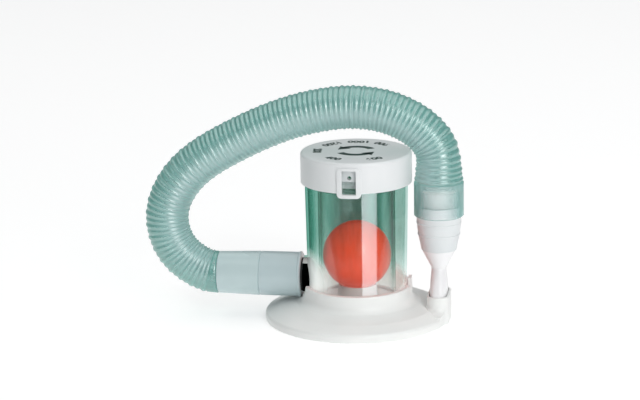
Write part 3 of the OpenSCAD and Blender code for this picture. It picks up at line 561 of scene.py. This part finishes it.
def printPiece(name, mesh, material):
    piece = bpy.data.objects.new(name, mesh)
    bpy.context.scene.collection.objects.link(piece)
    piece.data.materials.clear()
    piece.data.materials.append(material)
    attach(piece, "dial")


def makeNumber(words, degrees, material):
    curve = bpy.data.curves.new("dialNumber" + words, "FONT")
    curve.body = words
    curve.size = dialPrint["numberSize"]
    curve.align_x = curve.align_y = "CENTER"
    curve.extrude = dialPrint["ink"]
    curve.offset = dialPrint["bold"]
    flat = bpy.data.objects.new(curve.name, curve)
    bpy.context.scene.collection.objects.link(flat)
    mesh = bpy.data.meshes.new_from_object(flat)
    bpy.data.objects.remove(flat)
    angle = math.radians(degrees)
    middle = Vector((math.cos(angle), math.sin(angle), 0)) * dialPrint["ringRadius"]
    middle.z = dialPrint["height"]
    mesh.transform(Matrix.Translation(middle) @ Matrix.Rotation(angle + math.pi / 2, 4, "Z"))
    printPiece("dialNumber" + words, mesh, material)


def makeTurnMark(material):
    # two curved arrows: the cap turns both ways
    bm = bmesh.new()
    sweep = math.radians(dialPrint["arrowSweep"])
    inner = dialPrint["arrowRadius"] - dialPrint["arrowWidth"] / 2
    for start in (math.pi / 2 - sweep / 2, 3 * math.pi / 2 - sweep / 2):
        line = [bm.verts.new((r * math.cos(start), r * math.sin(start), dialPrint["height"]))
                for r in (inner, inner + dialPrint["arrowWidth"])]
        bmesh.ops.spin(bm, geom=line + [bm.edges.new(line)], cent=(0, 0, 0), axis=(0, 0, 1),
                       angle=sweep, steps=16)
        tip = start + sweep
        bmesh.ops.create_circle(
            bm, cap_ends=True, radius=dialPrint["arrowHead"], segments=3,
            matrix=(Matrix.Translation((dialPrint["arrowRadius"] * math.cos(tip),
                                        dialPrint["arrowRadius"] * math.sin(tip), dialPrint["height"]))
                    @ Matrix.Rotation(tip, 4, "Z")))
    bmesh.ops.recalc_face_normals(bm, faces=bm.faces)
    raised = bmesh.ops.extrude_face_region(bm, geom=bm.faces[:])["geom"]
    bmesh.ops.translate(bm, verts=[g for g in raised if isinstance(g, bmesh.types.BMVert)],
                        vec=(0, 0, dialPrint["ink"]))
    bmesh.ops.recalc_face_normals(bm, faces=bm.faces)
    mesh = bpy.data.meshes.new("dialTurnMark")
    bm.to_mesh(mesh)
    bm.free()
    printPiece("dialTurnMark", mesh, material)


def makeDialPrint():
    ink = mouldedPlastic("padPrintInk", ("#20332f", "#2b433d"), (0.45, 0.6), 0.5 * mm, 0.02)
    for degrees, words in dialPrint["numbers"]:
        makeNumber(words, degrees, ink)
    makeTurnMark(ink)


makeDialPrint()
print("dial printed")


stage = {
    "floorSize": 8, "floorColour": "#d4d4d4", "floorGlow": 0.5, "world": "#eef5f7", "worldStrength": 0.12, "worldSeen": 0.95,
}
# azimuth and distance of the middle, size, height of the lower edge, brightness
lamps = {
    "keyPanel": {"azimuth": 35.7, "distance": 1.25, "width": 0.765, "height": 1.5, "foot": 0.0, "radiance": 2.75},
    "keySpot": {"azimuth": 32, "distance": 1.2, "width": 0.18, "height": 0.14, "foot": 0.75, "radiance": 24},
}
overhead = {"size": 3.2, "height": 2.0, "behind": 0.5, "radiance": 1.2}


def makeStage():
    bm = bmesh.new()
    bmesh.ops.create_grid(bm, x_segments=1, y_segments=1, size=stage["floorSize"] / 2)
    paint = newMaterial("paleFloorPaint")
    body = addNode(paint, "ShaderNodeBsdfPrincipled", {
        "Base Color": linear(stage["floorColour"]), "Roughness": 0.9, "IOR": 1.2,
        "Emission Color": linear("#ffffff"), "Emission Strength": stage["floorGlow"]}).outputs[0]
    finishMaterial(paint, body)
    meshPiece("floor", bm, paint)
    # the room is dim, so that the lamps shape the object, but beyond the floor it is seen pale
    world = bpy.data.worlds.new("studio")
    world.use_nodes = True
    world.node_tree.nodes.clear()
    seen = addNode(world, "ShaderNodeLightPath").outputs["Is Camera Ray"]
    strength = addNode(world, "ShaderNodeMapRange", {
        "Value": seen, "To Min": stage["worldStrength"], "To Max": stage["worldSeen"]}).outputs[0]
    background = addNode(world, "ShaderNodeBackground", {
        "Color": linear(stage["world"]), "Strength": strength}).outputs[0]
    addNode(world, "ShaderNodeOutputWorld", {"Surface": background})
    bpy.context.scene.world = world


def makeLamp(name, width, height, radiance, place, back):
    # an area lamp whose light leaves against the direction back
    lamp = bpy.data.lights.new(name, "AREA")
    lamp.shape = "RECTANGLE"
    lamp.size = width
    lamp.size_y = height
    lamp.energy = radiance * math.pi * width * height
    piece = bpy.data.objects.new(name, lamp)
    piece.visible_camera = False  # else the lamp shows as a white wall when the object is seen from behind
    piece.matrix_world = Matrix.Translation(place) @ back.to_track_quat("Z", "Y").to_matrix().to_4x4()
    bpy.context.scene.collection.objects.link(piece)


makeStage()
for name, lamp in lamps.items():
    angle = math.radians(lamp["azimuth"])
    back = Vector((math.sin(angle), -math.cos(angle), 0))
    makeLamp(name, lamp["width"], lamp["height"], lamp["radiance"],
             back * lamp["distance"] + Vector((0, 0, lamp["foot"] + lamp["height"] / 2)), back)
makeLamp("overheadPanel", overhead["size"], overhead["size"], overhead["radiance"],
         Vector((0, overhead["behind"], overhead["height"])), Vector((0, 0, 1)))
bpy.context.scene.view_settings.view_transform = "Standard"
bpy.context.scene.cycles.transparent_max_bounces = 32
print("stage lit")
